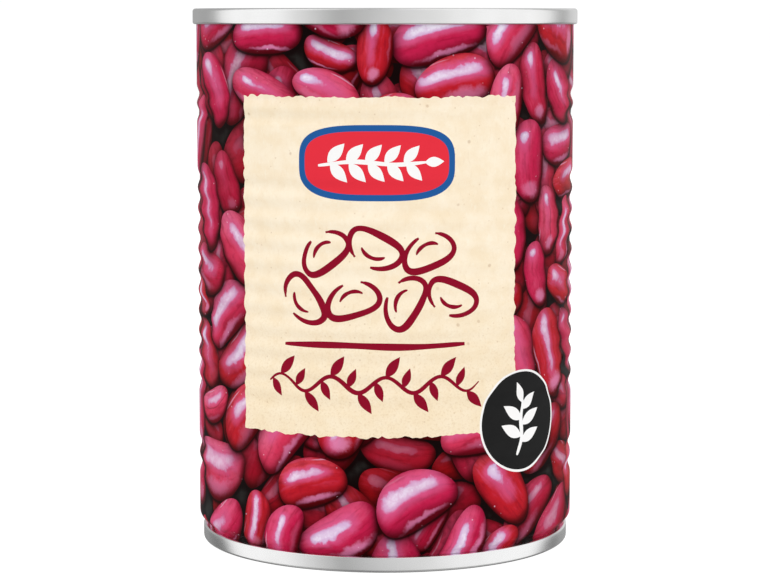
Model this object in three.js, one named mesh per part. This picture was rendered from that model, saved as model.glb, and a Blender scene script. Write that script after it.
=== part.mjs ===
// A round steel food can of the three-piece kind, shut and full. The printed body is rolled in
// stiffening beads and drawn in at the foot, and an end is seamed onto it at the top and at the base.
// The foot's seam is narrower than the mouth of the top one, so that cans nest when they are stacked.
// Millimetres, +Z up, with the origin at the middle of the base.
import * as THREE from "three";

// Driving dimensions
const canHeight = 103.6;
const bodyRadius = 36.6;
const topSeamRadius = 37.3;
const footSeamRadius = 35.9;
const neckRadius = 35.2;
const neckTop = 6.0;
const sidesRound = 48;
const pieceGap = 0.2;

// The double seam, in which the edge of an end is folded with the edge of the body
const seamHeight = 3.0;
const seamThickness = 1.3;
const seamCrownRadius = 0.35;

// The stamped end: a wall that leans in, a groove round its foot, and a panel with raised rings
const sheetThickness = 0.25;
const wallLean = 0.5;
const wallFootDepth = 4.5;
const grooveDepth = 5.1;
const grooveWidth = 0.8;
const grooveToWall = 0.3;
const grooveToPanel = 0.7;
const panelDepth = 4.75;
const panelRings = [
  { radius: 15.5, width: 1.8 },
  { radius: 26.5, width: 2.2 },
];
const ringRise = 0.35;
const ringFlank = 0.6;

// The beads, from the top down: the height of each group's first groove, and how many grooves it has.
// A groove's flanks and floor are given as shares of the pitch.
const beadDepth = 0.5;
const beadGroups = [
  { firstGroove: 87.25, grooves: 2, pitch: 3.6 },
  { firstGroove: 71.1, grooves: 11, pitch: 3.99 },
  { firstGroove: 19.0, grooves: 2, pitch: 4.0 },
];
const grooveMouthShare = 0.76;
const grooveFloorShare = 0.24;
const neckSteps = 5;

const quarterTurn = Math.PI / 2;

// The leaning wall's radius at a depth below the rim
function wallRadius(seamRadius, depth) {
  const share = (depth - seamCrownRadius) / (wallFootDepth - seamCrownRadius);
  return seamRadius - seamThickness - wallLean * Math.min(1, Math.max(0, share));
}

// The face of a panel from its middle to its edge, as [radius, depth below the rim]
function panelFace() {
  const face = [[0, panelDepth]];
  for (const ring of panelRings) {
    const inner = ring.radius - ring.width / 2;
    const outer = ring.radius + ring.width / 2;
    face.push([inner - ringFlank, panelDepth], [inner, panelDepth - ringRise]);
    face.push([outer, panelDepth - ringRise], [outer + ringFlank, panelDepth]);
  }
  return face;
}

// The groove between the panel and the wall, as [radius, depth below the rim]
function grooveFace(seamRadius) {
  const outer = wallRadius(seamRadius, wallFootDepth) - grooveToWall;
  const inner = outer - grooveWidth;
  return [
    [inner - grooveToPanel, panelDepth],
    [inner, grooveDepth],
    [outer, grooveDepth],
    [wallRadius(seamRadius, wallFootDepth), wallFootDepth],
  ];
}

// A whole end's outline, out along the face that shows and back along the hidden one
function endOutline(seamRadius) {
  const mouth = seamRadius - seamThickness;
  const stamped = [...panelFace(), ...grooveFace(seamRadius)];
  const wallFoot = stamped.pop();
  const seam = [
    [mouth, seamCrownRadius],
    [mouth + seamCrownRadius, 0],
    [seamRadius - seamCrownRadius, 0],
    [seamRadius, seamCrownRadius],
    [seamRadius, seamHeight - seamCrownRadius],
    [seamRadius - seamCrownRadius, seamHeight],
    [wallRadius(seamRadius, seamHeight) + sheetThickness, seamHeight],
  ];
  const hidden = stamped.map(([radius, depth]) => [radius, depth + sheetThickness]).reverse();
  const hiddenFoot = [wallFoot[0] + sheetThickness, wallFootDepth];
  return [...stamped, wallFoot, ...seam, hiddenFoot, ...hidden];
}

// One bead group's outline from its top to its foot: straight flanks between flat crests and flat grooves
function beadOutline({ firstGroove, grooves, pitch }) {
  const outline = [];
  const mouth = (grooveMouthShare * pitch) / 2;
  const floor = (grooveFloorShare * pitch) / 2;
  for (let groove = 0; groove < grooves; groove++) {
    const middle = firstGroove - groove * pitch;
    outline.push([bodyRadius, middle + mouth], [bodyRadius - beadDepth, middle + floor]);
    outline.push([bodyRadius - beadDepth, middle - floor], [bodyRadius, middle - mouth]);
  }
  return outline;
}

// The foot's draw-in, a quarter of an ellipse from the neck up to the body's full radius
function neckOutline(neckFoot) {
  return Array.from({ length: neckSteps + 1 }, (_, step) => {
    const angle = (step / neckSteps) * quarterTurn;
    return [
      neckRadius + (bodyRadius - neckRadius) * Math.sin(angle),
      neckTop - (neckTop - neckFoot) * Math.cos(angle),
    ];
  });
}

// The filled body, between the two ends, with a thin edge that reaches up to each seam
function bodyOutline() {
  const edgeDepth = seamHeight + pieceGap;
  const fillDepth = grooveDepth + sheetThickness + pieceGap;
  const edge = (seamRadius, depth) => wallRadius(seamRadius, depth) + sheetThickness + pieceGap;
  const beads = beadGroups.flatMap(beadOutline).reverse();
  return [
    [0, fillDepth],
    [edge(footSeamRadius, fillDepth), fillDepth],
    [edge(footSeamRadius, edgeDepth), edgeDepth],
    ...neckOutline(edgeDepth),
    ...beads,
    [bodyRadius, canHeight - edgeDepth],
    [edge(topSeamRadius, edgeDepth), canHeight - edgeDepth],
    [edge(topSeamRadius, fillDepth), canHeight - fillDepth],
    [0, canHeight - fillDepth],
  ];
}

// Turns an outline of [radius, height] round the can's axis
function turned(name, outline, material) {
  const points = outline.map(([radius, height]) => new THREE.Vector2(radius, height));
  const geometry = new THREE.LatheGeometry(points, sidesRound);
  geometry.rotateX(quarterTurn);
  const mesh = new THREE.Mesh(geometry, material);
  mesh.name = name;
  return mesh;
}

const printedTin = new THREE.MeshStandardMaterial({ color: 0xa82a4c, roughness: 0.38, metalness: 0.15 });
const bareTin = new THREE.MeshStandardMaterial({ color: 0xc9cac8, roughness: 0.3, metalness: 1.0 });

const topOutline = endOutline(topSeamRadius).map(([radius, depth]) => [radius, canHeight - depth]);
const footOutline = endOutline(footSeamRadius);

const can = new THREE.Group();
can.add(turned("can_body", bodyOutline(), printedTin));
can.add(turned("top_end", topOutline.reverse(), bareTin));
can.add(turned("base_end", footOutline, bareTin));

export default can;
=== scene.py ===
# %% [markdown]
# # A printed food can, built round its CAD frame
# The CAD model gives the can's true size: a body, and an end seamed onto it at the top and at the foot.
# This lesson dresses that frame. It prints a flat sheet, rolls it into the body, stamps the two ends,
# and lights them like a product photograph. All the sizes of the print are in millimetres on the flat
# sheet, as a printer would give them, and they become metres only when the sheet is rolled.
# %% Load the frame
import math
from functools import partialmethod

import bpy
import numpy as np
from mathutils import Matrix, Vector, geometry, kdtree


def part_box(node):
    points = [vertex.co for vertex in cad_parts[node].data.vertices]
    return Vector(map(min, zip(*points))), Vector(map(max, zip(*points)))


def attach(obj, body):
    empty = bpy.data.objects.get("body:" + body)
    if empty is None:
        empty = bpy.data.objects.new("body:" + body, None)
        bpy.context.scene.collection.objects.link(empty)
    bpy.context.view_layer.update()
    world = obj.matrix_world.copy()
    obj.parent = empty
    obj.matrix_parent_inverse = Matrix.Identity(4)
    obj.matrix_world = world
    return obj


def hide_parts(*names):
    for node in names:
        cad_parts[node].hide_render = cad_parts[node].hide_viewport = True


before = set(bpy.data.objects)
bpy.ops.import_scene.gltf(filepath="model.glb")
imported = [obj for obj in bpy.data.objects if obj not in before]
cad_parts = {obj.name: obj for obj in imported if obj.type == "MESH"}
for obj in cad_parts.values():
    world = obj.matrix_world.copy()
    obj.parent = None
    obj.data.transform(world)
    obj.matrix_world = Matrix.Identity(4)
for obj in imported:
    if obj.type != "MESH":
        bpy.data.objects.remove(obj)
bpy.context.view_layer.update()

MM = 0.001

body_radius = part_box("can_body")[1].x / MM
top_seam_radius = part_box("top_end")[1].x / MM
foot_seam_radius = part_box("base_end")[1].x / MM
can_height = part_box("top_end")[1].z / MM
seam_height = 3.0
seam_thickness = 1.3
half_round = math.pi * body_radius

print(f"body radius {body_radius:.2f} mm, seams {top_seam_radius:.2f} and {foot_seam_radius:.2f} mm,"
      f" height {can_height:.1f} mm")

# %% [markdown]
# ## The body's profile
# Stiffening beads are rolled into the body in three groups, and its foot is drawn in so that cans
# stack. A bead is a smooth wave, so one cosine gives its depth at any height. The foot curves in slowly
# at first and then quickly, and stands straight where it enters the seam. A function of the height is
# better than a drawn outline here, because the sheet's points can then lie at any height and still meet
# the true surface.
# %% The profile as a function of height
bead_depth = 0.5
# Each group of beads: the height of its top groove, how many grooves it has, and their pitch
bead_groups = ((87.25, 2, 3.6), (71.1, 11, 3.99), (19.0, 2, 4.0))
neck_radius = 35.2
neck_top, neck_foot = 5.8, 3.35
seam_clearance = 0.03
sheet_foot = seam_height + seam_clearance
sheet_top = can_height - seam_height - seam_clearance


def group_span(top_groove, grooves, pitch):
    """The heights where a group of beads ends and begins."""
    high = top_groove + pitch / 2
    return high - grooves * pitch, high


def profile_radius(height):
    """The body's radius at each of an array of heights, in millimetres."""
    radius = np.full_like(height, body_radius)
    for group in bead_groups:
        low, high = group_span(*group)
        wave = 0.5 - 0.5 * np.cos(2 * math.pi * (high - height) / group[2])
        radius -= bead_depth * np.where((height > low) & (height < high), wave, 0.0)
    drop = np.clip((neck_top - height) / (neck_top - neck_foot), 0.0, 1.0) ** 1.6
    return radius - (body_radius - neck_radius) * drop * drop * (3 - 2 * drop)


# %% The rows of points up the sheet
def sheet_rows():
    """Heights of the sheet's rows: close together over beads and the neck, a millimetre apart on flats."""
    steps_in_bead, steps_in_neck, flat_step = 8, 12, 1.0
    rows, reached = list(np.linspace(sheet_foot, neck_top, steps_in_neck + 1)), neck_top
    for group in reversed(bead_groups):
        low, high = group_span(*group)
        rows += list(np.linspace(reached, low, round((low - reached) / flat_step) + 1)[1:])
        rows += list(np.linspace(low, high, steps_in_bead * group[1] + 1)[1:])
        reached = high
    rows += list(np.linspace(reached, sheet_top, round((sheet_top - reached) / flat_step) + 1)[1:])
    return np.array(rows)


rows = sheet_rows()
column_count = 181
columns = np.linspace(-half_round, half_round, column_count)
print(f"{len(rows)} rows of {len(columns)} points")

# %% [markdown]
# ## The printed beans
# The picture on the sheet is a heap of kidney beans seen from above. Each bean is one closed outline
# from a formula: a rounded oval whose middle line is bent, and whose one end is a little fatter. To
# lay a heap, beans are thrown down at random and then pushed apart until they only just overlap, as
# real ones settle. Three such layers lie on each other, and the lower ones are darker.
# %% One bean's outline
roundness = 2.15
heap_low, heap_high = -8.0, 112.0


def bean_places(bean, across, up):
    """Where points lie in a bean: along and across it, as shares of its half length and half width, and
    from 0 at its middle line to 1 on its outline."""
    along_x, along_z = math.cos(bean["turn"]), math.sin(bean["turn"])
    du = (across - bean["u"] + half_round) % (2 * half_round) - half_round
    dz = up - bean["z"]
    along = (du * along_x + dz * along_z) / bean["half_length"]
    sideways = (dz * along_x - du * along_z) / bean["half_width"]
    bent = (sideways + bean["bend"] * (along * along - 0.3)) / (1.0 + bean["taper"] * along)
    return along, sideways, (np.abs(along) ** roundness + np.abs(bent) ** roundness) ** (1.0 / roundness)


def distance_outside(bean, across, up):
    """About how far points lie outside a bean's outline, in millimetres, and negative inside it."""
    along, sideways, fullness = bean_places(bean, across, up)
    length, width = bean["half_length"], bean["half_width"]
    slope = np.hypot(np.abs(along) ** (roundness - 1) / length, np.abs(sideways) ** (roundness - 1) / width)
    slope = slope / np.maximum(fullness, 0.05) ** (roundness - 1)
    return (fullness - 1.0) / np.maximum(slope, 1.0 / length)


def round_points(points, power=1.0):
    """Points round a circle of radius 1, or round a squarer shape if the power is below 1."""
    angle = np.arange(points) * 2 * math.pi / points
    edge = np.stack([np.cos(angle), np.sin(angle)], 1)
    return np.sign(edge) * np.abs(edge) ** power


def bean_outline(bean, points=44):
    """A bean's outline as points on the sheet."""
    along, bent = round_points(points, 2.0 / roundness).T
    sideways = bent * (1.0 + bean["taper"] * along) - bean["bend"] * (along * along - 0.3)
    du, dz = along * bean["half_length"], sideways * bean["half_width"]
    turn_x, turn_z = math.cos(bean["turn"]), math.sin(bean["turn"])
    return np.stack([bean["u"] + du * turn_x - dz * turn_z, bean["z"] + du * turn_z + dz * turn_x], 1)


# %% Throw the beans down and let them settle
tightness = 0.93
settle_steps, push_share = 240, 0.16
pairs_kept_for, pair_reach = 30, 16
heap_middle = np.array([0.0, (heap_low + heap_high) / 2])


def shortest(gap):
    """The shortest way between places on a sheet that closes on itself in both directions."""
    span = np.array([2 * half_round, heap_high - heap_low])
    return gap - np.round(gap / span) * span


def settled_layer(seed, count):
    """One layer of beans that were thrown down at random and pushed apart, as a list of dictionaries."""
    draw = np.random.default_rng(seed)
    place = np.stack([draw.uniform(-half_round, half_round, count), draw.uniform(heap_low, heap_high, count)], 1)
    off_front, height = np.abs(place[:, 0]), place[:, 1]
    beside_paper = (off_front > 22) & (off_front < 37) & (height > 22) & (height < 88)
    turn = np.where(beside_paper, draw.normal(1.57, 0.5, count), draw.normal(0.0, 0.75, count)) % math.pi
    half_length = draw.triangular(5.0, 8.6, 10.4, count)
    half_width = half_length * draw.triangular(0.43, 0.53, 0.7, count)
    reach = (half_length - half_width)[:, None] * np.array([-1.0, 0.0, 1.0])
    owner = np.repeat(np.arange(count), 3)
    size = half_width[owner]
    turn_weight = half_length ** 2 * 0.4
    for step in range(settle_steps):
        direction = np.stack([np.cos(turn), np.sin(turn)], 1)
        arm = (reach[:, :, None] * direction[:, None, :]).reshape(-1, 2)
        centre = place[owner] + arm
        if step % pairs_kept_for == 0:
            gap = shortest(centre[:, None, :] - centre[None, :, :])
            one, other = np.nonzero((np.abs(gap).max(-1) < pair_reach) & (owner[:, None] != owner[None, :]))
        gap = shortest(centre[one] - centre[other])
        apart = np.hypot(gap[:, 0], gap[:, 1]) + 1e-9
        overlap = np.clip((size[one] + size[other]) * tightness - apart, 0.0, None)
        push = gap * (overlap / apart)[:, None]
        twist = arm[one, 0] * push[:, 1] - arm[one, 1] * push[:, 0]
        for axis in (0, 1):
            place[:, axis] += push_share * np.bincount(owner[one], push[:, axis], count)
        turn += push_share * np.bincount(owner[one], twist, count) / turn_weight
    place = shortest(place - heap_middle) + heap_middle
    return [{"u": place[i, 0], "z": place[i, 1], "turn": turn[i] + math.pi * draw.integers(0, 2),
             "half_length": half_length[i], "half_width": half_width[i],
             "bend": draw.uniform(0.0, 0.42), "taper": draw.uniform(-0.14, 0.14), "seed": draw.uniform(0, 1)}
            for i in range(count)]


heap = []
for seed, count, depth in ((11, 172, 0.0), (12, 165, 0.45), (13, 150, 1.0)):
    heap += [bean | {"depth": depth} for bean in settled_layer(seed, count)]
print(f"{len(heap)} beans in the heap, the first on top")

# %% [markdown]
# ## Printed fields and ink shapes
# On the heap lies a field of cream paper with a torn edge, and on the paper lie the inks: a plaque, a
# drawn group of beans, a brush rule and a vine. A black badge overlaps the paper's corner. Each is one
# closed outline on the sheet. A brush stroke is a path given a width, thick in the middle and thin at
# its ends, because that is what makes it look painted.
# %% Tools for drawing outlines
def at_angle(degrees):
    """The place across the sheet that comes to lie at an angle round the can from its front."""
    return math.radians(degrees) * body_radius


def wobble(length, wave, seed):
    """A smooth random line of a given length, from -1 to 1, with one bend in every wave."""
    knots = np.random.default_rng(seed).uniform(-1, 1, max(3, round(length / wave)) + 1)
    knots[-1] = knots[0]
    where = np.linspace(0, len(knots) - 1, round(length / 0.28))
    left = np.minimum(where.astype(int), len(knots) - 2)
    ease = 0.5 - 0.5 * np.cos(math.pi * (where - left))
    return knots[left] * (1 - ease) + knots[left + 1] * ease


def stroke(path, width, seed, ends=0.25):
    """A brush stroke along a path: full in its middle, narrower at its ends, and a little uneven."""
    along = np.gradient(path, axis=0)
    along /= np.hypot(along[:, 0], along[:, 1])[:, None]
    side = np.stack([-along[:, 1], along[:, 0]], 1)
    share = np.linspace(0, 1, len(path))
    full = ends + (1 - ends) * np.sin(math.pi * np.clip(share * 1.02, 0, 1)) ** 0.45
    draw = np.random.default_rng(seed)
    bumps = 1 + 0.1 * np.sin(share * draw.uniform(9, 16) + draw.uniform(0, 6))
    half = (width / 2 * full * bumps)[:, None]
    return np.concatenate([path + side * half, (path - side * half)[::-1]])


def spline(points, steps=14):
    """A smooth path through a few points, by Catmull and Rom's rule."""
    held = [2 * np.array(points[0]) - points[1], *map(np.array, points), 2 * np.array(points[-1]) - points[-2]]
    path = []
    for before, start, end, after in zip(held, held[1:], held[2:], held[3:]):
        for share in np.arange(steps) / steps:
            path.append(0.5 * (2 * start + (end - before) * share
                               + (2 * before - 5 * start + 4 * end - after) * share ** 2
                               + (3 * start - before - 3 * end + after) * share ** 3))
    return np.array([*path, held[-2]], float)


def drawn_bean(u, z, half_length, turn, plump, taper, points):
    """The outline of a bean that is to be drawn with the brush."""
    return bean_outline({"u": u, "z": z, "turn": math.radians(turn), "half_length": half_length,
                         "half_width": half_length * plump, "bend": 0.3, "taper": taper}, points)


def leaf(u, z, length, turn, plump=0.42):
    """A leaf's outline, pointed at both ends."""
    share = np.linspace(0, 1, 14)
    half = plump * length / 2 * np.sin(math.pi * share) ** 0.9 * (1.25 - 0.5 * share)
    edge = np.concatenate([np.stack([share * length, half], 1), np.stack([share * length, -half], 1)[-2:0:-1]])
    angle = math.radians(turn)
    spin = np.array([[math.cos(angle), math.sin(angle)], [-math.sin(angle), math.cos(angle)]])
    return edge @ spin + [u, z]


# %% The paper field with its torn edge
paper_left, paper_right = at_angle(-45.6), at_angle(41.2)
paper_low, paper_high = 25.5, 87.6
tear_depth = 0.46


def torn_side(start, end, out, seed):
    """One side of the torn paper: rounded lobes with a notch between each two."""
    length = math.dist(start, end)
    tear = tear_depth * (np.abs(wobble(length, 2.1, seed)) + 0.3 * wobble(length, 0.7, seed + 50) - 0.4)
    share = np.linspace(0, 1, len(tear), endpoint=False)[:, None]
    return np.array(start) * (1 - share) + np.array(end) * share + np.array(out) * tear[:, None]


paper_corners = ((paper_left, paper_low), (paper_right, paper_low),
                 (paper_right, paper_high), (paper_left, paper_high))
paper_edge = np.concatenate([
    torn_side(paper_corners[side], paper_corners[(side + 1) % 4], out, seed)
    for side, (out, seed) in enumerate((((0, -1), 21), ((1, 0), 22), ((0, 1), 23), ((-1, 0), 24)))
])
ink_slots = ("bean_print", "ground_print", "paper_print", "crimson_ink", "black_ink", "white_ink",
             "plaque_red_ink", "plaque_blue_ink", "bare_margin")
shapes = [("paper_print", paper_edge)]
print(f"paper field {paper_right - paper_left:.1f} by {paper_high - paper_low:.1f} mm,"
      f" {len(paper_edge)} points round its torn edge")

# %% The plaque above and the drawn beans in the middle
plaque_centre = (at_angle(-2.5), 75.7)
plaque_rim = 1.15


def plaque(shrink):
    """The plaque's outline, between an oval and a rectangle, made smaller all round by some millimetres."""
    return round_points(96, 0.62) * [14.6 - shrink, 6.9 - shrink] + plaque_centre


shapes += [("plaque_blue_ink", plaque(0.0)), ("plaque_red_ink", plaque(plaque_rim))]

emblem = [stroke(spline(((-10.8, -0.5), (-4.0, 0.25), (3.5, -0.25), (9.6, 0.2))), 0.8, 51, ends=0.4),
          leaf(8.9, 0.15, 3.6, 2, 0.5)]
for number, across in enumerate((-9.0, -5.5, -2.0, 1.5, 5.0)):
    length = 4.7 - 0.12 * number
    emblem += [leaf(across, 0.1, length, 47, 0.46), leaf(across + 0.5, -0.1, length, -47, 0.46)]
shapes += [("white_ink", outline + plaque_centre) for outline in emblem]

brush, fine_brush = 1.25, 0.75
inner_share = 0.52
drawn = ((-11.3, 59.3, 4.9, 40), (-1.9, 60.0, 5.1, 155), (8.0, 59.4, 4.9, 24),
         (-15.4, 50.4, 5.0, 128), (-6.0, 50.6, 5.0, 20), (3.6, 50.3, 5.0, 62), (12.6, 50.9, 4.9, 158))
for number, (u, z, half_length, turn) in enumerate(drawn):
    round_stroke = np.roll(drawn_bean(u, z, half_length, turn, 0.6, 0.06, 60), -16, 0)[:55]
    inner_stroke = drawn_bean(u, z, half_length * inner_share, turn, 0.56, 0.08, 48)[4:21]
    shapes += [("crimson_ink", stroke(round_stroke, brush, 30 + number, ends=0.3)),
               ("crimson_ink", stroke(inner_stroke, fine_brush, 60 + number, ends=0.3))]

# %% The brush rule and the vine below it
rule = spline(((at_angle(-30.2), 42.2), (at_angle(-12), 42.35), (at_angle(6), 42.1), (at_angle(23.6), 42.4)))
shapes.append(("crimson_ink", stroke(rule, 1.2, 41, ends=0.45)))

vine_u = np.linspace(at_angle(-35.7), at_angle(28.3), 110)
vine_height, vine_wave, vine_swing = 35.1, 10.2, 1.45


def vine_z(u):
    """The height of the vine's stem at a place across the sheet."""
    return vine_height + vine_swing * np.sin(2 * math.pi * (u - vine_u[0]) / vine_wave)


shapes.append(("crimson_ink", stroke(np.stack([vine_u, vine_z(vine_u)], 1), 0.8, 42, ends=0.35)))
for number, where in enumerate(np.arange(0.25, 4.0, 0.5)):
    crest = 1 if number % 2 == 0 else -1
    for step_back, turn, length in ((0.0, 50, 4.6), (1.9, -64, 3.9)):
        u = vine_u[0] + where * vine_wave - step_back
        swing = turn * crest + 7 * math.sin(3.7 * number + step_back)
        shapes.append(("crimson_ink", leaf(u, vine_z(u), length, swing, 0.4)))

# %% The badge over the corner
badge_centre = (at_angle(44.3), 26.9)
badge_size = np.array([10.05, 9.65])
badge_ring = 0.42
badge_edge = round_points(110) * badge_size + badge_centre
badge_field = round_points(110) * (badge_size - badge_ring) + badge_centre
stem = spline(((-1.2, -6.4), (0.0, -3.2), (-0.2, 0.6), (0.5, 3.9))) + badge_centre
shapes += [("white_ink", badge_edge), ("black_ink", badge_field), ("white_ink", stroke(stem, 0.9, 43, ends=0.4))]
for u, z, length, turn in ((-0.2, -3.9, 5.4, 24), (-0.1, -2.9, 5.6, 154), (0.0, -0.7, 5.4, 30), (0.0, 0.3, 5.4, 148),
                           (0.2, 2.2, 4.6, 38), (0.4, 3.3, 4.4, 112)):
    shapes.append(("white_ink", leaf(u, z, length, turn, 0.4) + badge_centre))

# %% The bare margins on each side of the weld
margin = 2.6
for edge in (-half_round, half_round - margin):
    strip = ((edge, sheet_foot), (edge + margin, sheet_foot), (edge + margin, sheet_top), (edge, sheet_top))
    shapes.append(("bare_margin", np.array(strip)))
print(f"{len(shapes)} ink shapes")

# %% [markdown]
# ## Cut the sheet along every outline
# To give each field its own material, the mesh needs edges along the outlines. Blender's Delaunay
# triangulation takes loose points, edges and closed faces and returns triangles that keep to all of
# them, wherever they cross. An outline that another bean or the paper hides is left out, and so are
# grid points that would lie too close to an edge and make slivers.
# %% Which outlines show
def inside_outline(outline, across, up):
    """Which points lie inside a closed outline, by counting the edges on their right."""
    inside = np.zeros(across.shape, bool)
    near = (across > outline[:, 0].min()) & (across < outline[:, 0].max())
    near &= (up > outline[:, 1].min()) & (up < outline[:, 1].max())
    at_u, at_z = across[near], up[near]
    crossed = np.zeros(at_u.shape, bool)
    for (u0, z0), (u1, z1) in zip(outline, np.roll(outline, -1, 0)):
        if z0 != z1:
            beside = (z0 > at_z) != (z1 > at_z)
            crossed ^= beside & (at_u < (u1 - u0) * (at_z - z0) / (z1 - z0) + u0)
    inside[near] = crossed
    return inside


overshoot = 0.35
cover_shrink = 0.985
widest_bean = 10
laps = []
for rank, bean in enumerate(heap):
    outline = bean_outline(bean)
    for lap in (-2 * half_round, 0.0, 2 * half_round):
        if np.abs(outline[:, 0] + lap).min() < half_round - margin:
            laps.append((rank, outline + [lap, 0.0]))
ranks = np.array([rank for rank, _ in laps])[:, None]
across, up = np.array([outline for _, outline in laps]).transpose(2, 0, 1)
shown = np.abs(across) < half_round - margin + overshoot
shown &= (up > sheet_foot - overshoot) & (up < sheet_top + overshoot)
for rank, upper in enumerate(heap):
    beside = np.abs((across - upper["u"] + half_round) % (2 * half_round) - half_round) < widest_bean
    near = beside & (np.abs(up - upper["z"]) < widest_bean) & (ranks > rank) & shown
    shown[near] = distance_outside(upper, across[near], up[near]) > -overshoot
for cover in (paper_edge, badge_edge):
    middle = cover.mean(0)
    shown &= ~inside_outline(middle + (cover - middle) * cover_shrink, across, up)
print(f"{shown.sum()} outline points show")

# %% Gather points, edges and faces for the triangulation
def anticlockwise(outline):
    """The outline in the direction that the triangulation takes as round its inside."""
    following = np.roll(outline, -1, 0)
    area = (outline[:, 0] * following[:, 1] - following[:, 0] * outline[:, 1]).sum()
    return outline if area > 0 else outline[::-1]


points, edges, faces = [], [], []
for (_, outline), seen_here in zip(laps, shown):
    number = {spot: len(points) + order for order, spot in enumerate(np.flatnonzero(seen_here))}
    points.extend(outline[seen_here])
    for spot in number:
        following = (spot + 1) % len(outline)
        if following in number:
            edges.append((number[spot], number[following]))
for _, outline in shapes:
    outline = anticlockwise(outline)
    faces.append(list(range(len(points), len(points) + len(outline))))
    points.extend(outline)

for height in (sheet_foot, sheet_top):
    edges.append((len(points), len(points) + 1))
    points.extend(np.array([(-half_round, height), (half_round, height)]))

near_edges = kdtree.KDTree(2 * len(points))
for index, point in enumerate(points):
    near_edges.insert((point[0], point[1], 0.0), index)
for first, second in edges:
    middle = (points[first] + points[second]) / 2
    near_edges.insert((middle[0], middle[1], 0.0), first)
near_edges.balance()

least_gap = 0.22
for up in rows:
    for across in columns:
        on_border = abs(across) > half_round - 0.01 or up in (rows[0], rows[-1])
        if on_border or near_edges.find((across, up, 0.0))[2] > least_gap:
            points.append(np.array([across, up]))
print(f"{len(points)} points, {len(edges)} edges and {len(faces)} faces to triangulate")

# %% Triangulate
flat_points, _, triangles, _, _, within = geometry.delaunay_2d_cdt(
    [Vector(map(float, point)) for point in points], edges, faces, 0, 1e-6)
flat = np.array([tuple(point) for point in flat_points])
corners = np.array([triangle for triangle in triangles if len(triangle) == 3])
holders = [held for triangle, held in zip(triangles, within) if len(triangle) == 3]
middles = flat[corners].mean(1)
on_sheet = (np.abs(middles[:, 0]) < half_round) & (middles[:, 1] > sheet_foot) & (middles[:, 1] < sheet_top)
corners, middles = corners[on_sheet], middles[on_sheet]
holders = [held for held, kept in zip(holders, on_sheet) if kept]
print(f"{len(flat)} points and {len(corners)} triangles on the sheet")

# %% Which ink or bean each triangle wears
slots = np.ones(len(corners), int)
owners = np.full(len(corners), -1)
for rank in range(len(heap) - 1, -1, -1):
    _, _, fullness = bean_places(heap[rank], middles[:, 0], middles[:, 1])
    owners[fullness < 1.0] = rank
slots[owners >= 0] = 0
for triangle, held in enumerate(holders):
    if held:
        slots[triangle] = ink_slots.index(shapes[max(held)][0])
owners[slots > 1] = -1
print({name: int((slots == slot).sum()) for slot, name in enumerate(ink_slots)})

# %% [markdown]
# ## What each corner tells the bean material
# The material has to know where in its bean a point lies, how that bean is turned, and how near it is to
# the bean above, which throws a shade. All of it is stored on the triangles' corners, so that a bean
# keeps its own numbers right up to its edge. The shade is stored as a distance, because a distance
# stays exact between two points, and the material then turns it into darkness.
# %% Corner values
shade_drop = 0.45
shade_reach = 5.0
place_values, turn_values, mood_values = np.zeros((3, len(corners), 3, 3))
above = np.full(len(flat), shade_reach)
for rank, bean in enumerate(heap):
    mine = np.flatnonzero(owners == rank)
    spots = corners[mine]
    along, sideways, _ = bean_places(bean, flat[spots, 0], flat[spots, 1])
    place_values[mine] = np.stack([along, sideways, np.full_like(along, bean["bend"])], -1)
    turn_values[mine] = (math.cos(bean["turn"]), math.sin(bean["turn"]), bean["taper"])
    mood_values[mine, :, 0] = bean["seed"]
    mood_values[mine, :, 1] = bean["depth"]
    mood_values[mine, :, 2] = above[spots]
    above = np.minimum(above, distance_outside(bean, flat[:, 0], flat[:, 1] + shade_drop))
ground = np.flatnonzero(slots == 1)
mood_values[ground, :, 2] = above[corners[ground]]

# %% Roll the sheet into a tube
def straightened(across, radius):
    """Angles of the print's points. On the front they move a little in the grooves, so outlines look straight."""
    angle = across / body_radius
    fade = np.clip((math.radians(78) - np.abs(angle)) / math.radians(24), 0.0, 1.0)
    strength = 0.75 * fade * fade * (3 - 2 * fade)
    return angle + strength * (body_radius / radius - 1) * np.tan(np.clip(angle, -1.4, 1.4))


used, corners = np.unique(corners, return_inverse=True)
corners = corners.reshape(-1, 3)
flat = flat[used]
radius = profile_radius(flat[:, 1])
angle = straightened(flat[:, 0], radius)
rolled = np.stack([radius * np.sin(angle), -radius * np.cos(angle), flat[:, 1]], 1) * MM

can_mesh = bpy.data.meshes.new("printed_body")
can_mesh.from_pydata(rolled.tolist(), [], corners.tolist())
for name, values in (("bean_place", place_values), ("bean_turn", turn_values), ("bean_mood", mood_values)):
    layer = can_mesh.attributes.new(name, "FLOAT_VECTOR", "CORNER")
    layer.data.foreach_set("vector", values.astype(np.float32).ravel())
sheet_map = can_mesh.uv_layers.new(name="OFBake")
cap_share = 0.02
across_share = flat[corners, 0] / (2 * half_round) + 0.5
up_share = cap_share + (1 - cap_share) * (flat[corners, 1] - sheet_foot) / (sheet_top - sheet_foot)
sheet_map.data.foreach_set("uv", np.stack([across_share, up_share], -1).astype(np.float32).ravel())
can_mesh.polygons.foreach_set("material_index", slots.astype(np.int32))
printed_body = bpy.data.objects.new("printed_body", can_mesh)
bpy.context.scene.collection.objects.link(printed_body)
print(f"rolled body has {len(can_mesh.vertices)} points and {len(can_mesh.polygons)} triangles")

# %% Tools for modelling by hand
def pick_only(piece):
    """Deselects everything, and then selects one piece and makes it active."""
    bpy.ops.object.select_all(action="DESELECT")
    bpy.context.view_layer.objects.active = piece
    piece.select_set(True)


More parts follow.
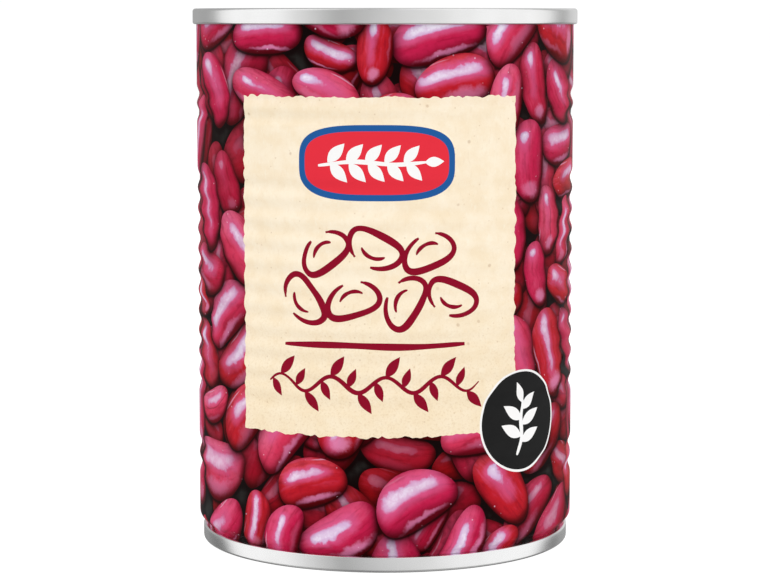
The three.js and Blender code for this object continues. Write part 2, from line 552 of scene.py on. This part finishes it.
def select_points(piece, wanted):
    """Selects just the points of a piece for which wanted is true."""
    bpy.ops.mesh.select_all(action="DESELECT")
    bpy.ops.object.mode_set(mode="OBJECT")
    for point in piece.data.vertices:
        point.select = wanted(point)
    bpy.ops.object.mode_set(mode="EDIT")


# %% Weld the sheet's edges and close the tube inside the seams
body_wall = 0.45
cap_depth = 5.55
pick_only(printed_body)
bpy.ops.object.mode_set(mode="EDIT")
bpy.ops.mesh.select_all(action="SELECT")
bpy.ops.mesh.remove_doubles(threshold=1e-6)
bpy.ops.mesh.select_mode(type="VERT")
for height, rim_radius, inward in ((sheet_top, body_radius, -1), (sheet_foot, neck_radius, 1)):
    select_points(printed_body, lambda point: abs(point.co.z / MM - height) < 1e-4)
    narrower = (rim_radius - body_wall) / rim_radius
    bpy.ops.mesh.extrude_edges_move()
    bpy.ops.transform.resize(value=(narrower, narrower, 1), center_override=(0, 0, 0))
    bpy.ops.mesh.extrude_edges_move()
    bpy.ops.transform.translate(value=(0, 0, (cap_depth - seam_height) * MM * inward))
    bpy.ops.mesh.edge_face_add()
bpy.ops.mesh.select_all(action="DESELECT")
bpy.ops.object.mode_set(mode="OBJECT")
print(f"closed body has {len(can_mesh.polygons)} faces")

# %% The hidden faces inside the seams are bare, and have a narrow strip of the map
spots = np.array([point.co for point in can_mesh.vertices]) / MM
edge_heights = np.clip(spots[:, 2], sheet_foot, sheet_top)
set_in = profile_radius(edge_heights) - np.hypot(spots[:, 0], spots[:, 1])
deep = np.minimum(np.abs(spots[:, 2] - sheet_foot), np.abs(spots[:, 2] - sheet_top)) > 0.5
bands = []
for face in can_mesh.polygons:
    held = list(face.vertices)
    if set_in[held].max() < body_wall / 2:
        continue
    face.material_index = ink_slots.index("bare_margin")
    x, y, z = spots[held].T
    band = (len(held) > 4, round(z.min()), round(z.max()))
    if band not in bands:
        bands.append(band)
    if len(held) > 4:
        face_map = np.stack([0.02 + 0.03 * bands.index(band) + 0.0002 * x, 0.0095 + 0.0002 * y], 1)
    else:
        round_share = np.arctan2(x, -y) / (2 * math.pi) + 0.5
        round_share += (round_share < 0.5) & (np.ptp(round_share) > 0.5)
        further = deep[held] if deep[held].any() else set_in[held] > body_wall / 2
        face_map = np.stack([0.25 + 0.75 * round_share, 0.0005 + 0.003 * bands.index(band) + 0.0022 * further], 1)
    for place, spot in zip(face.loop_indices, face_map):
        sheet_map.data[place].uv = spot
print(f"{len(bands)} bands of hidden faces")

# %% [markdown]
# ## Stamp the ends
# Each end is a round sheet with a groove and two raised rings, and its edge is folded over the body's
# edge into the double seam. Such a shape is turned: half of its section is drawn point by point from the
# axis out to the seam and back along the hidden side, Bevel rounds its corners, and Spin sweeps it round
# the axis. The section keeps each radius as a plain number, which is why it isn't cut out of a cylinder.
# %% The section of an end
sheet_thickness = 0.25
wall_lean, wall_foot_depth = 0.5, 4.5
groove_depth, groove_width, groove_to_wall, groove_to_panel = 5.1, 0.8, 0.3, 0.7
panel_depth, ring_rise, ring_flank = 4.75, 0.35, 0.6
panel_rings = ((15.5, 1.8), (26.5, 2.2))
crown_round, seam_foot_round, panel_round, groove_round = 0.55, 0.4, 0.3, 0.25


def end_section(seam_radius):
    """Half of an end's section, as points of (radius, depth below the rim, rounding of the corner)."""
    mouth = seam_radius - seam_thickness
    wall_foot = mouth - wall_lean
    groove_out = wall_foot - groove_to_wall
    groove_in = groove_out - groove_width
    shown = [(0.0, panel_depth, 0.0)]
    for ring, width in panel_rings:
        inner, outer, crest = ring - width / 2, ring + width / 2, panel_depth - ring_rise
        shown += [(inner - ring_flank, panel_depth, panel_round), (inner, crest, panel_round),
                  (outer, crest, panel_round), (outer + ring_flank, panel_depth, panel_round)]
    shown += [(groove_in - groove_to_panel, panel_depth, groove_round), (groove_in, groove_depth, groove_round),
              (groove_out, groove_depth, groove_round)]
    seam = [(wall_foot, wall_foot_depth, groove_round), (mouth, 0.0, crown_round), (seam_radius, 0.0, crown_round),
            (seam_radius, seam_height, seam_foot_round)]
    wall_share = seam_height / wall_foot_depth
    behind = [(mouth - wall_lean * wall_share + sheet_thickness, seam_height, 0.0),
              (wall_foot + sheet_thickness, wall_foot_depth, 0.0)]
    behind += [(radius, depth + sheet_thickness, 0.0) for radius, depth, _ in reversed(shown)]
    return shown + seam + behind


# %% Draw, round and spin an end
def stamped_end(name, seam_radius, rim, inward):
    """A whole end. rim is the height of its rim, and inward is the direction from there into the can."""
    section = [(radius, rim + inward * depth, rounding) for radius, depth, rounding in end_section(seam_radius)]
    bpy.ops.object.select_all(action="DESELECT")
    bpy.ops.mesh.primitive_plane_add(size=MM, location=(0, 0, 0))
    piece = bpy.context.object
    piece.name = piece.data.name = name
    pick_only(piece)
    bpy.ops.object.mode_set(mode="EDIT")
    bpy.ops.mesh.select_mode(type="VERT")
    bpy.ops.mesh.select_all(action="SELECT")
    bpy.ops.mesh.merge(type="CENTER")
    bpy.ops.transform.translate(value=(0, 0, section[0][1] * MM))
    for (radius, height, _), (next_radius, next_height, _) in zip(section, section[1:]):
        step = ((next_radius - radius) * MM, 0.0, (next_height - height) * MM)
        bpy.ops.mesh.extrude_vertices_move(TRANSFORM_OT_translate={"value": step})
    for rounding in sorted({corner[2] for corner in section} - {0.0}):
        corners_here = [(radius * MM, height * MM) for radius, height, size in section if size == rounding]
        select_points(piece, lambda point: any(
            math.hypot(point.co.x - x, point.co.z - z) < 1e-6 for x, z in corners_here))
        bpy.ops.mesh.bevel(offset=rounding * MM, offset_type="OFFSET", segments=4, affect="VERTICES")
    bpy.ops.mesh.select_all(action="SELECT")
    bpy.ops.mesh.spin(steps=144, angle=2 * math.pi, center=(0, 0, 0), axis=(0, 0, 1))
    bpy.ops.mesh.select_all(action="SELECT")
    bpy.ops.mesh.remove_doubles(threshold=1e-6)
    bpy.ops.mesh.normals_make_consistent(inside=False)
    bpy.ops.object.mode_set(mode="OBJECT")
    bpy.ops.object.shade_smooth_by_angle(angle=math.radians(40))
    print(f"{name}: {len(piece.data.polygons)} faces")
    return piece


top_end = stamped_end("stamped_top", top_seam_radius, can_height, -1)
foot_end = stamped_end("stamped_foot", foot_seam_radius, 0.0, 1)

# %% [markdown]
# ## Writing materials as sums
# A node material is a calculation at every point of the surface. Written node by node it is long and
# hard to read, so a small class lets nodes be added and multiplied like ordinary numbers. Each sum
# becomes a Math node in the tree.
# %% Nodes as numbers
class Field:
    """A number that changes over the surface. Sums with it make Math nodes. id_data is its node tree."""

    def __init__(self, socket):
        self.socket, self.id_data = socket, socket.id_data

    def work(self, operation, *others):
        """What a Math node makes of this field and the others."""
        return Field(new_node(self.id_data, "ShaderNodeMath", (self, *others), operation=operation).outputs[0])

    def rise(self, low, high):
        """0 up to low and 1 from high on, with a smooth rise between. low may be above high."""
        limits = (self, low, high, 0.0, 1.0)
        node = new_node(self.id_data, "ShaderNodeMapRange", limits, interpolation_type="SMOOTHSTEP")
        return Field(node.outputs[0])

    __add__ = partialmethod(work, "ADD")
    __sub__ = partialmethod(work, "SUBTRACT")
    __mul__ = partialmethod(work, "MULTIPLY")
    __truediv__ = partialmethod(work, "DIVIDE")
    __pow__ = partialmethod(work, "POWER")
    __abs__ = partialmethod(work, "ABSOLUTE")
    least = partialmethod(work, "MINIMUM")
    most = partialmethod(work, "MAXIMUM")


def feed(pins, values):
    """Gives inputs, in their order or by their names, a link from a field or a socket, or a plain value."""
    for pin, value in values.items() if isinstance(values, dict) else enumerate(values):
        if isinstance(value, Field):
            value = value.socket
        if isinstance(value, bpy.types.NodeSocket):
            value.id_data.links.new(value, pins[pin])
        else:
            pins[pin].default_value = value


def new_node(tree, kind, pins=(), **settings):
    """A node with its settings made and its inputs fed."""
    node = tree.nodes.new(kind)
    for setting, value in settings.items():
        setattr(node, setting, value)
    feed(node.inputs, pins)
    return node


def parts_of(vector):
    """A vector's three numbers as fields."""
    return [Field(output) for output in new_node(vector.id_data, "ShaderNodeSeparateXYZ", (vector,)).outputs]


def joined(*numbers):
    """Three fields as one vector."""
    return new_node(numbers[0].id_data, "ShaderNodeCombineXYZ", numbers).outputs[0]


def mixed(share, first, second, blend="MIX"):
    """A colour between two others."""
    pins = {0: share, 6: first, 7: second}
    return new_node(share.id_data, "ShaderNodeMix", pins, data_type="RGBA", blend_type=blend).outputs[2]


def noise(place, scale, detail=2.0, roughness=0.5):
    """A smooth random field from about 0 to 1."""
    pins = {"Vector": place, "Scale": scale, "Detail": detail, "Roughness": roughness}
    return Field(new_node(place.id_data, "ShaderNodeTexNoise", pins).outputs["Fac"])


def scattered(place, scale):
    """Scattered spots: the distance from the nearest one, and three random numbers of its own."""
    node = new_node(place.id_data, "ShaderNodeTexVoronoi", {"Vector": place, "Scale": scale})
    return Field(node.outputs["Distance"]), parts_of(node.outputs["Color"])


def object_place(tree):
    """The point's own place on the object, in metres."""
    return new_node(tree, "ShaderNodeTexCoord").outputs["Object"]


def seen(red, green, blue, light=1.12):
    """The paint that looks like an sRGB colour, from 0 to 255, under the scene's light."""
    shares = [value / 255 for value in (red, green, blue)]
    linear = [s / 12.92 if s <= 0.04045 else ((s + 0.055) / 1.055) ** 2.4 for s in shares]
    return (*(value / light for value in linear), 1.0)


def new_group(name, takes, gives):
    """An empty node group with named inputs and outputs, as (tree, inputs, outputs)."""
    tree = bpy.data.node_groups.new(name, "ShaderNodeTree")
    for direction, sockets in (("INPUT", takes), ("OUTPUT", gives)):
        for label, kind in sockets.items():
            tree.interface.new_socket(label, in_out=direction, socket_type="NodeSocket" + kind)
    return tree, tree.nodes.new("NodeGroupInput").outputs, tree.nodes.new("NodeGroupOutput").inputs


def use_group(tree, group, **values):
    """Places a group in a material and returns its outputs."""
    return new_node(tree, "ShaderNodeGroup", values, node_tree=group).outputs


# %% [markdown]
# ## Shared finishes
# Three effects belong to more than one material. Varnish is a clear coat with a slightly wavy skin.
# Ink grain is the faint unevenness of printed colour. Rolled grain is the fine brushing that a steel
# sheet keeps from the rolls, which goes round the can on its ends.
# %% The shared groups
varnish_group, takes, gives = new_group(
    "Varnish", {"Roughness": "Float"}, {"Roughness": "Float", "Height": "Float"})
place = object_place(varnish_group)
waves = noise(place, 260.0, 2.0)
smears = noise(place, 45.0, 3.0)
feed(gives, {"Roughness": Field(takes["Roughness"]) + (smears - 0.5) * 0.12, "Height": waves})

grain_group, takes, gives = new_group(
    "Ink grain", {"Colour": "Color", "Strength": "Float"}, {"Colour": "Color"})
place = object_place(grain_group)
cloud = noise(place, 330.0, 4.0, 0.6)
speck = noise(place, 2600.0, 2.0)
uneven = ((cloud - 0.5) * 1.4 + (speck - 0.5) * 0.8) * Field(takes["Strength"]) + 1.0
scaled = new_node(grain_group, "ShaderNodeVectorMath", {0: takes["Colour"], "Scale": uneven}, operation="SCALE")
feed(gives, {"Colour": scaled.outputs[0]})

rolled_group, takes, gives = new_group(
    "Rolled grain", {"Roughness": "Float"}, {"Colour": "Color", "Roughness": "Float", "Height": "Float"})
place = object_place(rolled_group)
x, y, z = parts_of(place)
round_axis = joined((x * x + y * y) ** 0.5, y.work("ARCTAN2", x) * 0.002, z)
brushing = noise(round_axis, 5200.0, 3.0, 0.6)
patch = noise(place, 90.0, 3.0)
steel = mixed(patch.rise(0.35, 0.7), (0.88, 0.88, 0.875, 1.0), (0.93, 0.93, 0.93, 1.0))
dullness = (patch - 0.5) * 0.1 + (brushing - 0.5) * 0.12 + Field(takes["Roughness"])
feed(gives, {"Colour": steel, "Roughness": dullness, "Height": brushing})


# %% A printed material
varnish_roughness, varnish_specular = 0.4, 0.03
varnish_wave = 0.00002


def new_material(name):
    """A new material, as (material, tree, shader)."""
    material = bpy.data.materials.new(name)
    material.use_nodes = True
    return material, material.node_tree, material.node_tree.nodes["Principled BSDF"]


def finish(shader, colour, roughness, height, depth, strength):
    """Gives the shader its colour and roughness, and a bump that is depth metres deep."""
    pins = {"Height": height, "Distance": depth, "Strength": strength}
    bump = new_node(shader.id_data, "ShaderNodeBump", pins)
    feed(shader.inputs, {"Base Color": colour, "Roughness": roughness, "Normal": bump.outputs[0]})


def printed_material(name, colour, strength):
    """A material for one ink under varnish. colour is a paint, or a function that makes one from nodes."""
    material, tree, shader = new_material(name)
    paint = colour(tree) if callable(colour) else colour
    inked = use_group(tree, grain_group, Colour=paint, Strength=strength)["Colour"]
    varnish = use_group(tree, varnish_group, Roughness=varnish_roughness)
    shader.inputs["Specular IOR Level"].default_value = varnish_specular
    finish(shader, inked, varnish["Roughness"], varnish["Height"], varnish_wave, 0.5)
    return material


# %% [markdown]
# ## The look of a glossy bean, as ink
# The beans are wet, and their shine is printed with them. The material works out how the bean's skin
# would face at each point, as if it were a rounded solid, and from that how bright it is, where a soft
# lamp above mirrors in it as a ragged pale patch, and where a second reflection runs as a thin line
# along its lower side. All this is colour, as in the real print, so it stays put when the can turns.
# %% How the skin of a bean would face
skin_group, takes, gives = new_group(
    "Bean skin", {"Place": "Vector", "Turn": "Vector", "Mood": "Vector"}, {"Colour": "Color"})
along, sideways, bend = parts_of(takes["Place"])
turn_cos, turn_sin, taper = parts_of(takes["Turn"])
seed, depth, shade_distance = parts_of(takes["Mood"])
surface = object_place(skin_group)


def pick(number):
    """A number from 0 to 1 that differs from bean to bean, and from one use to the next."""
    return (seed * number).work("FRACT")


bent = (sideways + bend * (along * along - 0.3)) / (taper * along + 1.0)
fullness = abs(along) ** roundness + abs(bent) ** roundness
endwise = along * along * along * 0.85 + along * 0.1
outward = ((endwise * endwise + bent * bent) * -1.0 + 1.0).most(0.0) ** 0.5
lamp_right, lamp_up = -0.26, 0.5
lamp_along = turn_cos * lamp_right + turn_sin * lamp_up
lamp_side = turn_cos * lamp_up - turn_sin * lamp_right
warp = noise(surface, 380.0, 3.0, 0.6) - 0.5
ragged = noise(surface, 1500.0, 3.0, 0.7) - 0.5

# %% Its red, from the dark side to the lit one
def shaded(dark, middle, pale, start, full):
    """A red that goes from dark over middle to pale as more light falls on the skin."""
    tone = mixed(lit.rise(-0.1, 0.5), seen(*dark), seen(*middle))
    return mixed(lit.rise(start, full), tone, seen(*pale))


def laid_on(share, paint, blend="MIX"):
    """The skin with a share of another colour over it."""
    return mixed(share, skin, paint, blend)


lit = endwise * lamp_along + bent * lamp_side + outward * 0.62 + warp * 0.22
magenta = shaded((96, 0, 18), (194, 28, 74), (225, 84, 125), 0.46, 0.98)
brick = shaded((92, 0, 6), (187, 26, 40), (218, 70, 86), 0.5, 1.02)
rosy = shaded((116, 4, 26), (208, 52, 86), (232, 110, 146), 0.46, 0.96)
blotch = noise(surface, 900.0, 3.0, 0.6)
streak = noise(joined(along * 1.5, bent * 4.5 + warp * 0.8, seed * 200.0), 1.0, 2.0, 0.6)

skin = magenta
skin = laid_on(pick(7.31).rise(0.5, 0.64), brick)
skin = laid_on(pick(5.17).rise(0.62, 0.78), rosy)
skin = laid_on(depth * 0.25, seen(144, 4, 26))
skin = laid_on(blotch.rise(0.45, 0.75) * 0.25, seen(132, 8, 36))
skin = laid_on(streak.rise(0.5, 0.7) * 0.38, seen(124, 0, 26))
skin = laid_on(streak.rise(0.48, 0.3) * lit.rise(0.3, 0.8) * 0.34, seen(232, 92, 134))

# %% The pleat, and the patches of light from the lamp
pleat_line = abs(bent + along * along * 0.22 - 0.12 + warp * 0.12)
pleat = pleat_line.rise(0.07, 0.0) * pick(11.3).rise(0.78, 0.84) * abs(along).rise(0.9, 0.6)
skin = laid_on(pleat * 0.5, seen(84, 6, 26))

x, y, z = parts_of(surface)
# Painted shade: on the can's left and right sides, where the light falls off round it, the printed highlights are
# dimmed and the beans made a little darker. The printed highlights are also made stronger in a band near the top.
painted_side_shade = abs(x).rise(0.022, 0.03)
lamp_gain = painted_side_shade * -0.28 + z.rise(0.084, 0.092) * 0.16 + 1.06
lamp_length = pick(3.77) ** 1.6 * 0.4 + 0.13
lamp_width = pick(9.41) * 0.14 + 0.16
lamp_strength = (pick(31.7) * 0.4 + 0.62) * lamp_gain
lengthwise = (endwise - lamp_along * 0.45 + (pick(13.7) - 0.5) * 0.3) / lamp_length
crosswise = (bent - lamp_side * 0.6 + warp * 0.35) / lamp_width
lamp = (abs(lengthwise) ** 2.2 + abs(crosswise) ** 2.2) ** 0.4545 + ragged * 0.28 + warp * 0.8
halo = lamp.rise(2.4, 0.7) * lamp_gain * 0.79
shine = lamp.rise(1.14, 0.76) * lamp_strength
broken = noise(surface, 640.0, 3.0, 0.7).rise(0.36, 0.6)
core = lamp.rise(0.92, 0.22) * lamp_strength * (broken * 0.55 + 0.5)
skin = laid_on(halo * (depth * -0.9 + 1.0), seen(216, 92, 142))
skin = laid_on(shine * (depth * -0.4 + 0.95), seen(211, 172, 212))
skin = laid_on(core * (depth * -0.5 + 0.85), seen(240, 230, 246))

# %% The weaker light from below, at a bean's low end and along its low side
end_sign = lamp_along / (abs(lamp_along) + 0.001)
end_width = pick(29.3) * 0.25 + 0.3
low_end = ((along * end_sign + 0.66 + warp * 0.3) / 0.2) ** 2.0 + ((bent + lamp_side * 0.2) / end_width) ** 2.0
low_patch = (low_end ** 0.5 + ragged * 0.6).rise(1.3, 0.45) * abs(lamp_along).rise(0.2, 0.42)
skin = laid_on(low_patch * pick(19.7).rise(0.35, 0.7) * (depth * -0.5 + 0.62), seen(224, 142, 184))

side_sign = lamp_side / (abs(lamp_side) + 0.001)
low_width = pick(41.3) ** 1.5 * 0.23 + 0.06
low_side = abs(bent * side_sign + 0.8 - low_width + warp * 0.35) / low_width
low_reach = abs(along + (pick(17.9) - 0.5) * 0.8) / 0.55
low_line = (low_side ** 2.0 + low_reach ** 2.0) ** 0.5 + ragged * 0.5 + warp * 1.0
glint = low_line.rise(1.4, 0.3) * (pick(23.3) * 0.7 + 0.08) * abs(lamp_side).rise(0.2, 0.4)
skin = laid_on(glint * (depth * -0.4 + 1.0), seen(222, 132, 176))

upper_side = abs(bent * side_sign - 0.87 + warp * 0.1) / 0.04
upper_reach = abs(along + (pick(43.9) - 0.5) * 1.1) / 0.42
rim_light = (upper_side ** 2.0 + upper_reach ** 2.0).rise(1.0, 0.3) * pick(37.1).rise(0.3, 0.7)
skin = laid_on(rim_light * 0.6, seen(232, 170, 200))

drop_distance, drop_chance = scattered(surface, 1250.0)
drop = drop_distance.rise(0.26, 0.12) * drop_chance[1].rise(0.93, 0.96) * fullness.rise(0.2, 0.6)
skin = laid_on(drop * (depth * -0.7 + 0.75), seen(238, 196, 218))

# %% The shade of the beans above
shade = ((shade_distance.most(-0.4) + 0.4) * -0.95).work("EXPONENT") * 1.3
edge_shade = fullness.rise(0.55, 1.05) * (lit.rise(0.95, 0.1) * 0.5 + 0.16)
gloom = (shade.least(0.98) * -1.0 + 1.0) * (edge_shade * -1.0 + 1.0) * (depth * -0.32 + 1.0)
# Painted shade: the beans are a little darker on the can's left and right sides.
gloom = gloom * (painted_side_shade * -0.05 + 1.0)
skin = laid_on(depth, (0.92, 0.34, 0.4, 1.0), "MULTIPLY")
feed(gives, {"Colour": mixed(gloom, seen(30, 0, 0), skin)})


# %% Bean print, and the dark ground between the beans
def attribute(tree, name):
    """The values that the corners hold under a name."""
    return new_node(tree, "ShaderNodeAttribute", attribute_name=name).outputs["Vector"]


def bean_paint(tree):
    """The bean skin, told where it is by the corner values."""
    told = {label: attribute(tree, "bean_" + label.lower()) for label in ("Place", "Turn", "Mood")}
    return use_group(tree, skin_group, **told)["Colour"]


def ground_paint(tree):
    """Greenish black, lost in shade close to a bean."""
    distance = parts_of(attribute(tree, "bean_mood"))[2]
    patch = noise(object_place(tree), 220.0, 3.0)
    return mixed(distance.rise(0.1, 1.8) * patch.rise(0.25, 0.65), seen(16, 4, 4), seen(44, 44, 42))


# %% Paper print: cream, mottled, with fibres and a few flecks
def paper_paint(tree):
    """Cream paper with soft mottling, short fibres and sparse brown flecks."""
    place = object_place(tree)
    low = parts_of(place)[2].rise(0.062, 0.026)
    stretched = new_node(tree, "ShaderNodeMapping", {"Vector": place, "Scale": (1.0, 1.0, 0.3)}).outputs[0]
    mottle = noise(place, 230.0, 6.0, 0.66)
    fibre = noise(stretched, 1700.0, 4.0, 0.65)
    speck = noise(place, 2400.0, 3.0, 0.7)
    layers = [(fibre.rise(0.56, 0.72) * 0.2, (224, 200, 164)), (fibre.rise(0.42, 0.3) * 0.3, (255, 248, 232)),
              (low * 0.36, (240, 219, 182)), (speck.rise(0.48, 0.68) * (low * 0.34 + 0.03), (218, 190, 148))]
    for scale, rare, strength, brown in ((1100.0, 0.87, 0.3, (184, 144, 100)), (520.0, 0.95, 0.38, (176, 136, 94))):
        distance, chance = scattered(place, scale)
        layers.append((distance.rise(0.24, 0.1) * chance[0].rise(rare, rare + 0.03) * strength, brown))
    paper = mixed(mottle.rise(0.3, 0.72), seen(247, 229, 199), seen(253, 240, 217))
    for share, colour in layers:
        paper = mixed(share, paper, seen(*colour))
    return paper


# %% [markdown]
# ## Bare tinplate
# The ends and the margins beside the weld are tinned steel with no ink. Tinplate is bright but not a
# mirror: the rolls leave a fine grain in it, and handling dulls it in patches.
# %% Tinplate
def tinplate_material(name, roughness, grain_depth, welded=False):
    """Bright tinplate. The margin also has the weld at its middle, a dull raised line in a heat-tinted band."""
    material, tree, shader = new_material(name)
    rolled = use_group(tree, rolled_group, Roughness=roughness)
    steel, dullness, height = rolled["Colour"], Field(rolled["Roughness"]), Field(rolled["Height"])
    if welded:
        place = object_place(tree)
        wander = (noise(place, 700.0, 3.0) - 0.5) * 0.0003
        off_middle = abs(parts_of(place)[0] + wander)
        weld = off_middle.rise(0.00055, 0.0004)
        tint = off_middle.rise(0.0017, 0.0006) * 0.55
        steel = mixed(tint, steel, (0.56, 0.5, 0.45, 1.0))
        steel = mixed(weld, steel, (0.4, 0.4, 0.42, 1.0))
        height = height * 0.2 + weld * (noise(place, 1400.0, 2.0) * 4.0 + 8.0)
        dullness = dullness + weld * 0.2
    shader.inputs["Metallic"].default_value = 1.0
    finish(shader, steel, dullness, height, grain_depth, 0.6)
    return material


# %% Give the body its inks
inks = {
    "bean_print": (bean_paint, 0.03), "ground_print": (ground_paint, 0.1), "paper_print": (paper_paint, 0.012),
    "crimson_ink": (seen(140, 12, 40), 0.12), "black_ink": (seen(33, 33, 33), 0.2),
    "white_ink": (seen(248, 247, 246), 0.02), "plaque_red_ink": (seen(229, 50, 65), 0.04),
    "plaque_blue_ink": (seen(35, 90, 155), 0.06),
}
for name, (colour, strength) in inks.items():
    can_mesh.materials.append(printed_material(name, colour, strength))
can_mesh.materials.append(tinplate_material("bare_margin", 0.34, 0.000012, welded=True))
bare_tin = tinplate_material("bare_tin", 0.2, 0.000003)

pick_only(printed_body)
bpy.ops.object.shade_smooth_by_angle(angle=math.radians(35))
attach(printed_body, "root")
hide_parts("can_body")

for piece, node in ((top_end, "top_end"), (foot_end, "base_end")):
    piece.data.materials.append(bare_tin)
    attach(piece, "root")
    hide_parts(node)
print(f"{len(can_mesh.materials)} materials on the body, and {bare_tin.name} on both ends")

# %% [markdown]
# ## The studio
# A product photograph of a tin is lit by what mirrors in its rims. The floor is a pale sheet that glows a
# little and doesn't mirror in the can. Round the can stand soft boxes, here a ring of greys: a mirroring
# ray sees the ring, and any other ray sees an even light, which the print needs.
# %% The floor
bpy.ops.object.select_all(action="DESELECT")
bpy.ops.mesh.primitive_plane_add(size=4.0, location=(0, 0, 0))
floor = bpy.context.object
floor.name = "studio_floor"
floor_material, tree, shader = new_material("pale_floor")
ray = new_node(tree, "ShaderNodeLightPath").outputs
at_left = parts_of(object_place(tree))[0].rise(0.05, -0.25)
glow = at_left * Field(ray["Is Diffuse Ray"]) * -0.5 + 0.8
feed(shader.inputs, {"Base Color": (0.32, 0.32, 0.32, 1.0), "Roughness": 0.9, "Specular IOR Level": 0.0,
                     "Emission Color": (1.0, 1.0, 1.0, 1.0), "Emission Strength": glow})
see_through = new_node(tree, "ShaderNodeBsdfTransparent").outputs[0]
choice = new_node(tree, "ShaderNodeMixShader", (ray["Is Glossy Ray"], shader.outputs[0], see_through))
feed(tree.nodes["Material Output"].inputs, {"Surface": choice.outputs[0]})
floor.data.materials.append(floor_material)
print("pale floor laid")

# %% The ring of soft boxes, and the light that the print gets
studio_stops = ((-180, 0.53), (-163, 0.37), (-150, 0.41), (-135, 0.36), (-122, 0.42), (-111, 0.91), (-100, 1.0),
                (-66, 0.95), (-27, 0.42), (0, 0.6), (40, 0.87), (66, 0.95), (103, 0.98), (113, 0.88), (123, 0.52),
                (132, 0.42), (146, 0.65), (162, 0.69), (180, 0.53))
world = bpy.data.worlds.new("studio")
world.use_nodes = True
bpy.context.scene.world = world
tree = world.node_tree
x, y, z = parts_of(new_node(tree, "ShaderNodeTexCoord").outputs["Generated"])
turn_round = x.work("ARCTAN2", y * -1.0) / (2 * math.pi) + 0.5
softboxes = new_node(tree, "ShaderNodeValToRGB", (turn_round,))
ramp = softboxes.color_ramp
for number, (degrees, value) in enumerate(studio_stops):
    place = degrees / 360 + 0.5
    stop = ramp.elements[number] if number < 2 else ramp.elements.new(place)
    stop.position, stop.color = place, (value, value, value, 1.0)
behind = abs(turn_round - 0.5).rise(105 / 360, 127 / 360)
below = z.rise(-0.05, -0.2) * behind * (x.rise(-0.75, -0.4) * -0.22 + x.rise(-0.2, 0.2) * 0.22 + 0.5)
under = z.rise(-0.42, -0.6) * 0.55
mirrored = Field(softboxes.outputs[0]) * (below * -1.0 + 1.0) * (under * -1.0 + 1.0)
overhead = z.rise(-0.2, 1.0) * 0.25 + x.rise(0.1, -0.7) * z.rise(0.0, 0.5) * 0.35 + 1.0
mirror_ray = new_node(tree, "ShaderNodeLightPath").outputs["Is Glossy Ray"]
feed(tree.nodes["Background"].inputs, {"Color": mixed(mirror_ray, overhead, mirrored)})
view = bpy.context.scene.view_settings
view.view_transform, view.look = "Standard", "None"
print(f"{len(studio_stops)} tones of grey round the can")

# %% The camera, where the photographer's stood
photo_width, focal_pixels = 770, 2442.8
camera_data = bpy.data.cameras.new("camera")
camera = bpy.data.objects.new("camera", camera_data)
bpy.context.scene.collection.objects.link(camera)
bpy.context.scene.camera = camera
camera_data.sensor_width = 36.0
camera_data.lens = focal_pixels / photo_width * camera_data.sensor_width
camera.location = (0.0, -0.4778, 0.10225)
camera.rotation_euler = (math.pi / 2 - 0.1115, 0.0, 0.0)
print(f"camera with a lens of {camera_data.lens:.0f} mm")
